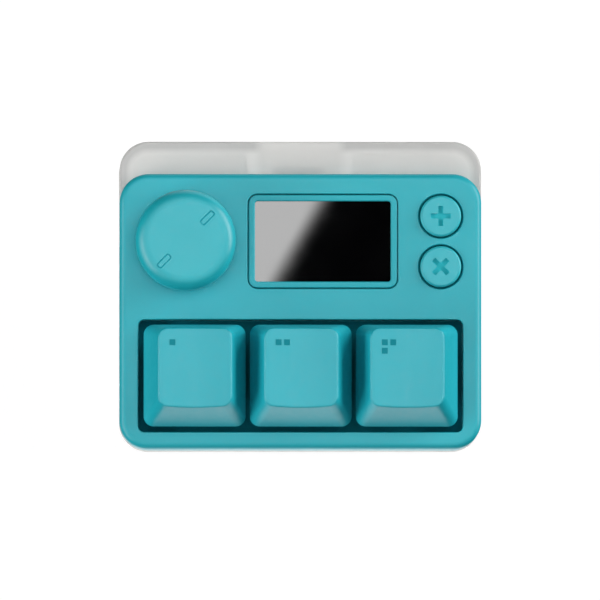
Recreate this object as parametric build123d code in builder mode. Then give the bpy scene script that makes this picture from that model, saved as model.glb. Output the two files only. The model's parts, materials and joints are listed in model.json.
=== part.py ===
from build123d import *
import os

# A mini keypad: three sprung keys in a well, a knob that turns and presses, a small display and
# two round buttons, all in a front shell that sits on a see-through base with a ledge behind it.
# Millimetres. +X is right, +Y is the rear, +Z is up. z = 0 is the desk, and the origin lies
# under the middle of the base.

# Keys and the well they stand in
KEY_COUNT = 3
KEY_PITCH = 19.05
KEY_TRAVEL = 4.0
KEYCAP_GAP = 0.75
KEYCAP_HEIGHT = 8.2
KEYCAP_TOP_WIDTH = 13.1
KEYCAP_TOP_LENGTH = 13.8
KEYCAP_TOP_SHIFT = 1.35
KEYCAP_CORNER = 1.8
KEYCAP_WALL = 1.4
KEYCAP_ROOF = 1.4
KEYCAP_DISH = 0.95
KEYCAP_DISH_RADIUS = 28.0
KEYCAP_EDGE_ROUND = 0.4
KEYCAP_SKIRT_DROP = 0.8
KEYCAP_BOSS_DIAMETER = 5.5
WELL_GAP = 0.95
WELL_CORNER = 1.1
WELL_DEPTH = 4.8
WELL_WALL = 1.4
DECK_THICKNESS = 1.5

# Switches, with a hollow stem that carries a magnet over a sensor on the board
SWITCH_SEAT = 5.0
SWITCH_HOLE = 14.0
SWITCH_SIDE_GAP = 0.05
SWITCH_FLANGE = 15.6
SWITCH_FLANGE_THICKNESS = 1.0
SWITCH_FLOOR = 1.2
SWITCH_HOLLOW_WIDTH = 10.0
SWITCH_HOLLOW_LENGTH = 8.4
SWITCH_PEG_DIAMETER = 1.7
SWITCH_PEG_LENGTH = 2.2
SWITCH_PEG_SPACING = 10.16
COVER_HEIGHT = 5.6
COVER_BOTTOM_SIZE = 14.6
COVER_TOP_WIDTH = 10.8
COVER_TOP_LENGTH = 9.6
COVER_CORNER = 0.9
COVER_WALL = 0.8
COVER_ROOF = 1.2
STEM_WIDTH = 7.0
STEM_LENGTH = 6.0
STEM_SLIP = 0.15
STEM_ABOVE_COVER = 0.2
STEM_ROOF = 1.5
STEM_FLOOR_GAP = 0.3
SHOULDER_WIDTH = 8.6
SHOULDER_LENGTH = 3.0
SHOULDER_STOP_GAP = 0.1
CROSS_LENGTH = 4.0
CROSS_ARM = 1.2
CROSS_HEIGHT = 3.6
CROSS_FIT = 0.05
POLE_DIAMETER = 3.2
MAGNET_DIAMETER = 2.2
MAGNET_LENGTH = 2.0
SPRING_DIAMETER = 4.1
SPRING_WIRE = 0.3
SPRING_TURNS = 6
SPRING_SIDE_GAP = 0.25
SPRING_END_GAP = 0.02

# Case
SIDE_RAIL = 3.35
FRONT_RAIL = 3.06
REAR_RAIL = 3.8
WELL_BEZEL_GAP = 5.74
LEDGE_DEPTH = 5.9
CASE_CORNER = 5.2
CASE_WALL = 2.0
FACE_THICKNESS = 2.0
FACE_ROUND = 1.2
FACE_HOLE_ROUND = 0.2
BASE_FLOOR = 1.8
BASE_ROUND = 0.8
LEDGE_ROOF = 1.7
LEDGE_ROUND = 0.4
FRONT_BASE_HEIGHT = 8.0
REAR_SHELL_HEIGHT = 2.8
PARTING_STEP = 18.2
PARTING_ROUND = 1.5
PARTING_GAP = 0.1
LIP_HEIGHT = 1.2
LIP_THICKNESS = 0.9
LIP_GAP = 0.1
HOOK_WIDTH = 5.0
HOOK_THICKNESS = 0.8
HOOK_TOE = 1.4
HOOK_TOE_THICKNESS = 1.1
HOOK_GAP = 0.2
HOOK_SPACING = 44.0

# Screws, inserts and feet
SCREW_DIAMETER = 2.0
SCREW_LENGTH = 7.8
SCREW_HEAD_DIAMETER = 3.8
SCREW_HEAD_HEIGHT = 1.3
SCREW_HEAD_SINK = 1.6
SCREW_RECESS_WIDTH = 1.3
SCREW_RECESS_DEPTH = 0.7
SCREW_GAP = 0.2
INSERT_DIAMETER = 3.2
INSERT_LENGTH = 3.0
INSERT_FIT = 0.02
BOSS_DIAMETER = 4.5
BOSS_RIB = 1.2
FRONT_SCREW_AHEAD = 7.15
SIDE_SCREW_INSET = 4.9
SIDE_SCREW_BEHIND_WELL = 2.8
POST_DIAMETER = 3.0
POST_SPACING = 44.4
POST_FROM_REAR = 3.7
FOOT_DIAMETER = 8.0
FOOT_PROUD = 1.0
FOOT_SINK = 0.5
FOOT_SIDE_GAP = 0.1
FOOT_ROUND = 0.4
FOOT_INSET = 7.0

# Board and what is soldered to it
BOARD_THICKNESS = 1.6
BOARD_STANDOFF = 3.2
BOARD_EDGE_GAP = 0.4
CHIP_SIZE = 7.0
CHIP_HEIGHT = 1.0
MEMORY_WIDTH = 5.0
MEMORY_LENGTH = 4.0
MEMORY_AWAY = 9.0
SENSOR_WIDTH = 2.9
SENSOR_LENGTH = 1.6
SENSOR_HEIGHT = 1.0
TACT_SIZE = 6.0
TACT_BODY_HEIGHT = 3.5
TACT_HEIGHT = 5.0
TACT_FLOOR = 0.8
TACT_PLUNGER_DIAMETER = 3.4
RUNNING_GAP = 0.1
PRESS_SPARE = 0.2

# USB-C socket and the pocket that takes the plug
USB_WIDTH = 8.94
USB_HEIGHT = 3.26
USB_LENGTH = 7.35
USB_WALL = 0.3
USB_BACK = 0.8
USB_TONGUE_WIDTH = 6.7
USB_TONGUE_THICKNESS = 0.7
USB_TONGUE_SETBACK = 1.0
USB_HOLE_GAP = 0.15
POCKET_WIDTH = 15.0
POCKET_HEIGHT = 7.0
POCKET_DEPTH = 4.5
POCKET_CORNER = 2.0
POCKET_WALL = 1.2
POCKET_SIDE = 1.9

# Controls: the knob, the display and the two buttons share one row behind the keys
KNOB_INSET = 11.8
KNOB_DIAMETER = 18.0
KNOB_HEIGHT = 7.6
KNOB_ROUND = 2.5
KNOB_GAP = 0.8
KNOB_PRESS = 0.5
KNOB_WALL = 1.6
KNOB_ROOF = 2.2
KNOB_BOSS_DIAMETER = 9.0
KNOB_BOSS_SETBACK = 0.6
KNOB_FIT = 0.03
KNOB_MARK_LENGTH = 3.0
KNOB_MARK_WIDTH = 1.15
KNOB_MARK_CORNER = 0.35
KNOB_MARK_GROOVE = 0.2
KNOB_MARK_DEPTH = 0.3
KNOB_MARK_RADIUS = 5.5
KNOB_MARK_ANGLE = 45.0
ENCODER_SIZE = 12.0
ENCODER_HEIGHT = 4.6
ENCODER_FLOOR = 0.5
ENCODER_HOLLOW_DIAMETER = 8.6
BRACKET_THICKNESS = 1.0
BUSH_DIAMETER = 7.0
BUSH_HEIGHT = 3.2
BUSH_HOLE_GAP = 0.4
SHAFT_DIAMETER = 6.0
SHAFT_GAP = 0.05
SHAFT_FLAT = 1.5
SHAFT_FLAT_LENGTH = 6.6
COLLAR_DIAMETER = 7.8
COLLAR_HEIGHT = 1.8
PLUNGER_DIAMETER = 5.2
PLUNGER_HEIGHT = 1.2
KNOB_BEZEL_GAP = 2.35
BEZEL_WIDTH = 26.7
BEZEL_LENGTH = 16.7
BEZEL_CORNER = 1.6
BEZEL_GAP = 0.18
BEZEL_EDGE_ROUND = 0.2
BEZEL_FLANGE = 1.3
BEZEL_FLANGE_THICKNESS = 0.8
BEZEL_LIP = 0.5
BEZEL_SIDE_RIM = 1.15
BEZEL_END_RIM = 1.125
GLASS_SEEN_CORNER = 0.5
GLASS_OVERLAP = 0.5
GLASS_THICKNESS = 1.6
GLASS_FIT = 0.1
PANEL_OVERHANG = 0.85
PANEL_INSET = 0.85
PANEL_THICKNESS = 0.8
BACKLIGHT_SETBACK = 2.6
BACKLIGHT_INSET = 0.2
BACKLIGHT_THICKNESS = 1.2
FLEX_WIDTH = 11.0
FLEX_THICKNESS = 0.2
FLEX_BEND = 0.9
FLEX_REACH = 1.4
FLEX_SOCKET_LENGTH = 3.6
FLEX_SOCKET_HEIGHT = 1.4
FLEX_SOCKET_SIDE = 0.8
FLEX_SLOT_GAP = 0.05
BEZEL_BUTTON_GAP = 4.2
BUTTON_INSET = 7.3
BUTTON_SPACING = 9.1
BUTTON_DIAMETER = 7.3
BUTTON_HOLE_GAP = 0.35
BUTTON_PROUD = 0.7
BUTTON_ROUND = 0.45
BUTTON_TRAVEL = 0.4
BUTTON_FLANGE = 0.4
BUTTON_FLANGE_THICKNESS = 0.9
BUTTON_STOP_GAP = 0.1
BUTTON_STEM_DIAMETER = 3.0
MARK_LENGTH = 3.6
MARK_WIDTH = 0.9
MARK_DEPTH = 0.35
PLUS_TURN = 0.0
CROSS_TURN = 45.0

# Plan of the case, as wide as the wider of its two rows: the keys in their well, and the controls
KEYCAP_SIZE = KEY_PITCH - KEYCAP_GAP
WELL_WIDTH = (KEY_COUNT - 1) * KEY_PITCH + KEYCAP_SIZE + 2 * WELL_GAP
WELL_LENGTH = KEYCAP_SIZE + 2 * WELL_GAP
KNOB_TO_BEZEL = KNOB_DIAMETER / 2 + KNOB_BEZEL_GAP
BEZEL_TO_BUTTON = BEZEL_BUTTON_GAP + BUTTON_DIAMETER / 2
KEY_ROW_WIDTH = WELL_WIDTH + 2 * SIDE_RAIL
CONTROL_ROW_WIDTH = KNOB_INSET + KNOB_TO_BEZEL + BEZEL_WIDTH + BEZEL_TO_BUTTON + BUTTON_INSET
CASE_WIDTH = max(KEY_ROW_WIDTH, CONTROL_ROW_WIDTH)
SHELL_DEPTH = FRONT_RAIL + WELL_LENGTH + WELL_BEZEL_GAP + BEZEL_LENGTH + REAR_RAIL
CASE_DEPTH = SHELL_DEPTH + LEDGE_DEPTH
CASE_SIDE = CASE_WIDTH / 2
CASE_REAR = CASE_DEPTH / 2
CASE_FRONT = -CASE_REAR
SHELL_REAR = CASE_REAR - LEDGE_DEPTH
SHELL_MIDDLE = (CASE_FRONT + SHELL_REAR) / 2
SHELL_INNER_REAR = SHELL_REAR - CASE_WALL
KEY_ROW = CASE_FRONT + FRONT_RAIL + WELL_LENGTH / 2
WELL_REAR = KEY_ROW + WELL_LENGTH / 2
STEP_LINE = CASE_REAR - PARTING_STEP
KEY_MIDDLES = [(i - (KEY_COUNT - 1) / 2) * KEY_PITCH for i in range(KEY_COUNT)]
CONTROL_ROW = WELL_REAR + WELL_BEZEL_GAP + BEZEL_LENGTH / 2
KNOB_MIDDLE = -CASE_SIDE + KNOB_INSET
DISPLAY_MIDDLE = KNOB_MIDDLE + KNOB_TO_BEZEL + BEZEL_WIDTH / 2
GLASS_SEEN_WIDTH = BEZEL_WIDTH - 2 * BEZEL_SIDE_RIM
GLASS_SEEN_LENGTH = BEZEL_LENGTH - 2 * BEZEL_END_RIM
PANEL_WIDTH = BEZEL_WIDTH + 2 * BEZEL_FLANGE + 2 * PANEL_OVERHANG
PANEL_LENGTH = BEZEL_LENGTH + 2 * BEZEL_FLANGE - 2 * PANEL_INSET
BUTTON_MIDDLE = CASE_SIDE - BUTTON_INSET
BUTTON_ROWS = {"plus": CONTROL_ROW + BUTTON_SPACING / 2, "cross": CONTROL_ROW - BUTTON_SPACING / 2}
BUTTON_TURNS = {"plus": PLUS_TURN, "cross": CROSS_TURN}
FRONT_SCREWS = [(side * KEY_PITCH / 2, KEY_ROW - FRONT_SCREW_AHEAD) for side in (-1, 1)]
SIDE_SCREW_X = CASE_SIDE - SIDE_SCREW_INSET
SIDE_SCREW_Y = WELL_REAR + SIDE_SCREW_BEHIND_WELL
SIDE_SCREWS = [(side * SIDE_SCREW_X, SIDE_SCREW_Y) for side in (-1, 1)]
CASE_SCREWS = FRONT_SCREWS + SIDE_SCREWS

# Levels, worked out from the desk upward
BASE_BOTTOM = FOOT_PROUD
FLOOR_TOP = BASE_BOTTOM + BASE_FLOOR
BOARD_BOTTOM = FLOOR_TOP + BOARD_STANDOFF
BOARD_TOP = BOARD_BOTTOM + BOARD_THICKNESS
DECK_TOP = BOARD_TOP + SWITCH_SEAT
DECK_BOTTOM = DECK_TOP - DECK_THICKNESS
FACE_TOP = DECK_TOP + WELL_DEPTH
FACE_BOTTOM = FACE_TOP - FACE_THICKNESS
FRONT_PARTING = BASE_BOTTOM + FRONT_BASE_HEIGHT
REAR_PARTING = FACE_TOP - REAR_SHELL_HEIGHT
LEDGE_TOP = REAR_PARTING - PARTING_GAP
LEDGE_BOTTOM = LEDGE_TOP - LEDGE_ROOF
FLANGE_TOP = DECK_TOP + SWITCH_FLANGE_THICKNESS
COVER_TOP = FLANGE_TOP + COVER_HEIGHT
SWITCH_FLOOR_TOP = BOARD_TOP + SWITCH_FLOOR
STEM_TOP = COVER_TOP + STEM_ABOVE_COVER
STEM_BOTTOM = SWITCH_FLOOR_TOP + KEY_TRAVEL + STEM_FLOOR_GAP
SHOULDER_TOP = COVER_TOP - COVER_ROOF - SHOULDER_STOP_GAP
SPRING_TOP = STEM_TOP - STEM_ROOF
KEYCAP_BOTTOM = STEM_TOP - KEYCAP_SKIRT_DROP
KEYCAP_TOP = KEYCAP_BOTTOM + KEYCAP_HEIGHT
KEYCAP_CEILING = KEYCAP_TOP - KEYCAP_DISH - KEYCAP_ROOF
SCREW_SEAT = BASE_BOTTOM + SCREW_HEAD_SINK
TACT_TOP = BOARD_TOP + TACT_HEIGHT
BUTTON_FLANGE_TOP = FACE_BOTTOM - BUTTON_STOP_GAP
ENCODER_TOP = BOARD_TOP + ENCODER_HEIGHT
PLUNGER_BOTTOM = BOARD_TOP + ENCODER_FLOOR + KNOB_PRESS + PRESS_SPARE
SHAFT_BOTTOM = PLUNGER_BOTTOM + PLUNGER_HEIGHT
KNOB_BOTTOM = FACE_TOP + KNOB_GAP
KNOB_TOP = KNOB_BOTTOM + KNOB_HEIGHT
KNOB_CEILING = KNOB_TOP - KNOB_ROOF
BEZEL_BOTTOM = FACE_BOTTOM - BEZEL_FLANGE_THICKNESS
GLASS_TOP = FACE_TOP - BEZEL_LIP
PANEL_BOTTOM = BEZEL_BOTTOM - PANEL_THICKNESS
BACKLIGHT_BOTTOM = PANEL_BOTTOM - BACKLIGHT_THICKNESS
USB_AXIS = BOARD_TOP + USB_HEIGHT / 2
POCKET_BACK = CASE_REAR - POCKET_DEPTH


def level(z, x=0, y=0):
    """A level work plane through a point."""
    return Plane(origin=(x, y, z))


def facing_rear(y, z):
    """An upright work plane that faces the rear, its own x along the case's width."""
    return Plane(origin=(0, y, z), x_dir=(1, 0, 0), z_dir=(0, 1, 0))


def save(piece, name):
    """Label a finished piece and write it to its own file."""
    piece.label = name
    export_step(piece, f"parts/{name}.step")


def parting_side(step_y, front_z, rear_z, far_z):
    """Side view of the stepped parting line, closed at the far level above or below it."""
    with BuildLine() as outline:
        FilletPolyline(
            (CASE_FRONT - CASE_WALL, front_z),
            (step_y, front_z),
            (step_y, rear_z),
            (CASE_REAR + CASE_WALL, rear_z),
            radius=PARTING_ROUND,
        )
        Polyline(
            (CASE_REAR + CASE_WALL, rear_z),
            (CASE_REAR + CASE_WALL, far_z),
            (CASE_FRONT - CASE_WALL, far_z),
            (CASE_FRONT - CASE_WALL, front_z),
        )
    make_face(outline.edges())


def lip_ring(outer_inset, inner_inset):
    """The band inside the case walls, ahead of the parting step, that the base's lip fills."""
    with Locations((0, SHELL_MIDDLE)):
        RectangleRounded(
            CASE_WIDTH - 2 * outer_inset,
            SHELL_DEPTH - 2 * outer_inset,
            CASE_CORNER - outer_inset,
        )
        RectangleRounded(
            CASE_WIDTH - 2 * inner_inset,
            SHELL_DEPTH - 2 * inner_inset,
            CASE_CORNER - inner_inset,
            mode=Mode.SUBTRACT,
        )
    lip_end = STEP_LINE - 2 * PARTING_ROUND
    with Locations((0, lip_end)):
        Rectangle(CASE_WIDTH, CASE_DEPTH, align=(Align.CENTER, Align.MIN), mode=Mode.SUBTRACT)


def d_section(radius, flat):
    """A round section with one flat, as on a shaft that must not slip."""
    Circle(radius)
    with Locations((0, flat)):
        Rectangle(2 * radius, radius, align=(Align.CENTER, Align.MIN), mode=Mode.SUBTRACT)


os.makedirs("parts", exist_ok=True)

# Front shell: one moulding with the face, the key well, the deck that holds the switches, the
# screw bosses and two hooks that catch under the base's ledge
with BuildPart() as front_shell:
    with BuildSketch(level(BASE_BOTTOM, y=SHELL_MIDDLE)):
        RectangleRounded(CASE_WIDTH, SHELL_DEPTH, CASE_CORNER)
    extrude(amount=FACE_TOP - BASE_BOTTOM)
    fillet(front_shell.faces().sort_by(Axis.Z)[-1].edges(), FACE_ROUND)
    with BuildSketch(Plane.YZ):
        parting_side(STEP_LINE, FRONT_PARTING, REAR_PARTING, BASE_BOTTOM - CASE_WALL)
    extrude(amount=CASE_WIDTH, both=True, mode=Mode.SUBTRACT)
    # Hollow below the deck, and behind the well up to the face
    with BuildSketch(level(BASE_BOTTOM, y=SHELL_MIDDLE)):
        RectangleRounded(
            CASE_WIDTH - 2 * CASE_WALL, SHELL_DEPTH - 2 * CASE_WALL, CASE_CORNER - CASE_WALL
        )
    extrude(amount=DECK_BOTTOM - BASE_BOTTOM, mode=Mode.SUBTRACT)
    with BuildSketch(level(DECK_BOTTOM)):
        with Locations((0, SHELL_MIDDLE)):
            RectangleRounded(
                CASE_WIDTH - 2 * CASE_WALL, SHELL_DEPTH - 2 * CASE_WALL, CASE_CORNER - CASE_WALL
            )
        with Locations((0, WELL_REAR + WELL_WALL)):
            Rectangle(
                CASE_WIDTH, CASE_DEPTH, align=(Align.CENTER, Align.MAX), mode=Mode.SUBTRACT
            )
    extrude(amount=FACE_BOTTOM - DECK_BOTTOM, mode=Mode.SUBTRACT)
    # Key well and the switch holes in its deck
    with BuildSketch(level(DECK_TOP, y=KEY_ROW)):
        RectangleRounded(WELL_WIDTH, WELL_LENGTH, WELL_CORNER)
    extrude(amount=WELL_DEPTH, mode=Mode.SUBTRACT)
    with BuildSketch(level(DECK_BOTTOM, y=KEY_ROW)):
        with GridLocations(KEY_PITCH, KEY_PITCH, KEY_COUNT, 1):
            Rectangle(SWITCH_HOLE, SWITCH_HOLE)
    extrude(amount=DECK_THICKNESS, mode=Mode.SUBTRACT)
    # Holes in the face for the knob's bush, the display bezel and the buttons
    with BuildSketch(level(FACE_BOTTOM)):
        with Locations((KNOB_MIDDLE, CONTROL_ROW)):
            Circle(BUSH_DIAMETER / 2 + BUSH_HOLE_GAP)
        with Locations((DISPLAY_MIDDLE, CONTROL_ROW)):
            RectangleRounded(
                BEZEL_WIDTH + 2 * BEZEL_GAP, BEZEL_LENGTH + 2 * BEZEL_GAP, BEZEL_CORNER + BEZEL_GAP
            )
        with Locations(*[(BUTTON_MIDDLE, row) for row in BUTTON_ROWS.values()]):
            Circle(BUTTON_DIAMETER / 2 + BUTTON_HOLE_GAP)
    extrude(amount=FACE_THICKNESS, mode=Mode.SUBTRACT)
    face_holes = front_shell.faces().sort_by(Axis.Z)[-1].inner_wires()
    fillet(face_holes.edges(), FACE_HOLE_ROUND)
    # Screw bosses: the front pair under the deck, the side pair under the face with a rib each
    with BuildSketch(level(BOARD_TOP)):
        with Locations(*FRONT_SCREWS):
            Circle(BOSS_DIAMETER / 2)
    extrude(amount=DECK_BOTTOM - BOARD_TOP)
    with BuildSketch(level(BOARD_TOP)):
        with Locations(*SIDE_SCREWS):
            Circle(BOSS_DIAMETER / 2)
    extrude(amount=FACE_BOTTOM - BOARD_TOP)
    with BuildSketch(level(DECK_BOTTOM)):
        for side, align in ((-1, Align.MAX), (1, Align.MIN)):
            with Locations((side * SIDE_SCREW_X, SIDE_SCREW_Y)):
                Rectangle(SIDE_SCREW_INSET - CASE_WALL, BOSS_RIB, align=(align, Align.CENTER))
    extrude(amount=FACE_BOTTOM - DECK_BOTTOM)
    with BuildSketch(level(BOARD_TOP)):
        with Locations(*CASE_SCREWS):
            Circle(INSERT_DIAMETER / 2 + INSERT_FIT)
    extrude(amount=INSERT_LENGTH, mode=Mode.SUBTRACT)
    # Rebate for the base's lip, along the inside of the front and side walls
    with BuildSketch(level(FRONT_PARTING)):
        lip_ring(CASE_WALL - LIP_THICKNESS - LIP_GAP, CASE_WALL + LIP_GAP)
    extrude(amount=LIP_HEIGHT + LIP_GAP, mode=Mode.SUBTRACT)
    # Hooks, seen from the side
    for hook_x in (-HOOK_SPACING / 2, HOOK_SPACING / 2):
        with BuildSketch(Plane.YZ.offset(hook_x)):
            with BuildLine():
                hook_rear = SHELL_INNER_REAR - HOOK_GAP
                toe_top = LEDGE_BOTTOM - HOOK_GAP
                Polyline(
                    (hook_rear, FACE_BOTTOM),
                    (hook_rear, toe_top),
                    (hook_rear + HOOK_TOE, toe_top),
                    (hook_rear, toe_top - HOOK_TOE_THICKNESS),
                    (hook_rear - HOOK_THICKNESS, toe_top - HOOK_TOE_THICKNESS),
                    (hook_rear - HOOK_THICKNESS, FACE_BOTTOM),
                    close=True,
                )
            make_face()
        extrude(amount=HOOK_WIDTH / 2, both=True)
save(front_shell.part, "front_shell")

# Base shell: a tray with low walls ahead of the step and high ones behind it, the rear ledge,
# the plug pocket, and bosses and posts for the board
with BuildPart() as base_shell:
    with BuildSketch(level(BASE_BOTTOM)):
        RectangleRounded(CASE_WIDTH, CASE_DEPTH, CASE_CORNER)
    extrude(amount=FACE_TOP - BASE_BOTTOM)
    fillet(base_shell.faces().sort_by(Axis.Z)[0].edges(), BASE_ROUND)
    with BuildSketch(Plane.YZ):
        parting_side(STEP_LINE + PARTING_GAP, FRONT_PARTING - PARTING_GAP, LEDGE_TOP, FACE_TOP + CASE_WALL)
    extrude(amount=CASE_WIDTH, both=True, mode=Mode.SUBTRACT)
    ledge_edges = base_shell.faces().group_by(Axis.Z)[-1].edges()
    fillet(ledge_edges.sort_by(Axis.Y)[-1], LEDGE_ROUND)
    # Hollow, closed above by the ledge's roof
    with BuildSketch(level(FLOOR_TOP)):
        RectangleRounded(
            CASE_WIDTH - 2 * CASE_WALL, CASE_DEPTH - 2 * CASE_WALL, CASE_CORNER - CASE_WALL
        )
    extrude(amount=LEDGE_BOTTOM - FLOOR_TOP, mode=Mode.SUBTRACT)
    with BuildSketch(level(LEDGE_BOTTOM)):
        with Locations((0, SHELL_INNER_REAR)):
            Rectangle(
                CASE_WIDTH - 2 * CASE_WALL, CASE_DEPTH, align=(Align.CENTER, Align.MAX)
            )
    extrude(amount=FACE_TOP - LEDGE_BOTTOM, mode=Mode.SUBTRACT)
    # Plug pocket in the rear wall, with the socket's hole in its back
    with BuildSketch(level(FLOOR_TOP)):
        with Locations((0, POCKET_BACK - POCKET_WALL)):
            Rectangle(
                POCKET_WIDTH + 2 * POCKET_SIDE,
                POCKET_DEPTH + POCKET_WALL - CASE_WALL,
                align=(Align.CENTER, Align.MIN),
            )
    extrude(amount=LEDGE_BOTTOM - FLOOR_TOP)
    with BuildSketch(facing_rear(POCKET_BACK, USB_AXIS)):
        RectangleRounded(POCKET_WIDTH, POCKET_HEIGHT, POCKET_CORNER)
    extrude(amount=POCKET_DEPTH, mode=Mode.SUBTRACT)
    with BuildSketch(facing_rear(POCKET_BACK - POCKET_WALL, USB_AXIS)):
        SlotOverall(USB_WIDTH + 2 * USB_HOLE_GAP, USB_HEIGHT + 2 * USB_HOLE_GAP)
    extrude(amount=POCKET_WALL, mode=Mode.SUBTRACT)
    # Screw bosses and board posts
    with BuildSketch(level(FLOOR_TOP)):
        with Locations(*CASE_SCREWS):
            Circle(BOSS_DIAMETER / 2)
        with Locations(*[(side * POST_SPACING / 2, CASE_REAR - POST_FROM_REAR) for side in (-1, 1)]):
            Circle(POST_DIAMETER / 2)
    extrude(amount=BOARD_STANDOFF)
    with Locations(*[Location((x, y, BASE_BOTTOM), (180, 0, 0)) for x, y in CASE_SCREWS]):
        CounterBoreHole(
            SCREW_DIAMETER / 2 + SCREW_GAP,
            SCREW_HEAD_DIAMETER / 2 + SCREW_GAP,
            SCREW_HEAD_SINK,
            BOARD_BOTTOM - BASE_BOTTOM,
        )
    # Lip that locates the front shell
    with BuildSketch(level(FRONT_PARTING - PARTING_GAP)):
        lip_ring(CASE_WALL - LIP_THICKNESS, CASE_WALL)
    extrude(amount=LIP_HEIGHT)
    # Pockets for the feet
    with BuildSketch(level(BASE_BOTTOM)):
        with GridLocations(CASE_WIDTH - 2 * FOOT_INSET, CASE_DEPTH - 2 * FOOT_INSET, 2, 2):
            Circle(FOOT_DIAMETER / 2 + FOOT_SIDE_GAP)
    extrude(amount=FOOT_SINK, mode=Mode.SUBTRACT)
save(base_shell.part, "base_shell")

# Rubber feet, glued into the base's pockets
with BuildPart() as rubber_feet:
    with BuildSketch():
        with GridLocations(CASE_WIDTH - 2 * FOOT_INSET, CASE_DEPTH - 2 * FOOT_INSET, 2, 2):
            Circle(FOOT_DIAMETER / 2)
    extrude(amount=FOOT_PROUD + FOOT_SINK)
    fillet(rubber_feet.edges().group_by(Axis.Z)[0], FOOT_ROUND)
save(rubber_feet.part, "rubber_feet")

# Case screws, up through the base and the board
with BuildPart() as case_screws:
    with BuildSketch(level(SCREW_SEAT)):
        with Locations(*CASE_SCREWS):
            Circle(SCREW_HEAD_DIAMETER / 2)
    extrude(amount=-SCREW_HEAD_HEIGHT)
    with BuildSketch(level(SCREW_SEAT)):
        with Locations(*CASE_SCREWS):
            Circle(SCREW_DIAMETER / 2)
    extrude(amount=SCREW_LENGTH)
    with BuildSketch(level(SCREW_SEAT - SCREW_HEAD_HEIGHT)):
        with Locations(*CASE_SCREWS):
            RegularPolygon(SCREW_RECESS_WIDTH / 2, 6, major_radius=False)
    extrude(amount=SCREW_RECESS_DEPTH, mode=Mode.SUBTRACT)
save(case_screws.part, "case_screws")

# Brass inserts in the front shell's bosses
with BuildPart() as brass_inserts:
    with BuildSketch(level(BOARD_TOP)):
        with Locations(*CASE_SCREWS):
            Circle(INSERT_DIAMETER / 2)
            Circle(SCREW_DIAMETER / 2 + INSERT_FIT, mode=Mode.SUBTRACT)
    extrude(amount=INSERT_LENGTH)
save(brass_inserts.part, "brass_inserts")

# Main board, notched round the plug pocket
with BuildPart() as main_board:
    board_inset = CASE_WALL + BOARD_EDGE_GAP
    with BuildSketch(level(BOARD_BOTTOM)):
        RectangleRounded(
            CASE_WIDTH - 2 * board_inset, CASE_DEPTH - 2 * board_inset, CASE_CORNER - board_inset
        )
        with Locations((0, POCKET_BACK - POCKET_WALL - BOARD_EDGE_GAP)):
            Rectangle(
                POCKET_WIDTH + 2 * (POCKET_SIDE + BOARD_EDGE_GAP),
                CASE_DEPTH,
                align=(Align.CENTER, Align.MIN),
                mode=Mode.SUBTRACT,
            )
        with Locations(*CASE_SCREWS):
            Circle(SCREW_DIAMETER / 2 + SCREW_GAP, mode=Mode.SUBTRACT)
        for key_x in KEY_MIDDLES:
            with Locations((key_x, KEY_ROW)):
                with GridLocations(SWITCH_PEG_SPACING, SWITCH_PEG_SPACING, 2, 1):
                    Circle(SWITCH_PEG_DIAMETER / 2 + RUNNING_GAP, mode=Mode.SUBTRACT)
    extrude(amount=BOARD_THICKNESS)
save(main_board.part, "main_board")

# Chips on the board, under the display
with BuildPart() as board_chips:
    with BuildSketch(level(BOARD_TOP, DISPLAY_MIDDLE, CONTROL_ROW)):
        Rectangle(CHIP_SIZE, CHIP_SIZE)
        with Locations((MEMORY_AWAY, 0)):
            Rectangle(MEMORY_WIDTH, MEMORY_LENGTH)
    extrude(amount=CHIP_HEIGHT)
save(board_chips.part, "board_chips")

# Hall sensors under the board, one below each key's magnet
with BuildPart() as hall_sensors:
    with BuildSketch(level(BOARD_BOTTOM, y=KEY_ROW)):
        with GridLocations(KEY_PITCH, KEY_PITCH, KEY_COUNT, 1):
            Rectangle(SENSOR_WIDTH, SENSOR_LENGTH)
    extrude(amount=-SENSOR_HEIGHT)
save(hall_sensors.part, "hall_sensors")

# USB-C socket: a drawn steel shell, closed at the back, with the contact tongue inside it
with BuildPart() as usb_shell:
    with BuildSketch(facing_rear(POCKET_BACK, USB_AXIS)):
        SlotOverall(USB_WIDTH, USB_HEIGHT)
    extrude(amount=-USB_LENGTH)
    with BuildSketch(facing_rear(POCKET_BACK, USB_AXIS)):
        SlotOverall(USB_WIDTH - 2 * USB_WALL, USB_HEIGHT - 2 * USB_WALL)
    extrude(amount=USB_BACK - USB_LENGTH, mode=Mode.SUBTRACT)
save(usb_shell.part, "usb_shell")

with BuildPart() as usb_tongue:
    with BuildSketch(facing_rear(POCKET_BACK - USB_LENGTH + USB_BACK, USB_AXIS)):
        Rectangle(USB_TONGUE_WIDTH, USB_TONGUE_THICKNESS)
    extrude(amount=USB_LENGTH - USB_BACK - USB_TONGUE_SETBACK)
save(usb_tongue.part, "usb_tongue")

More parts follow.
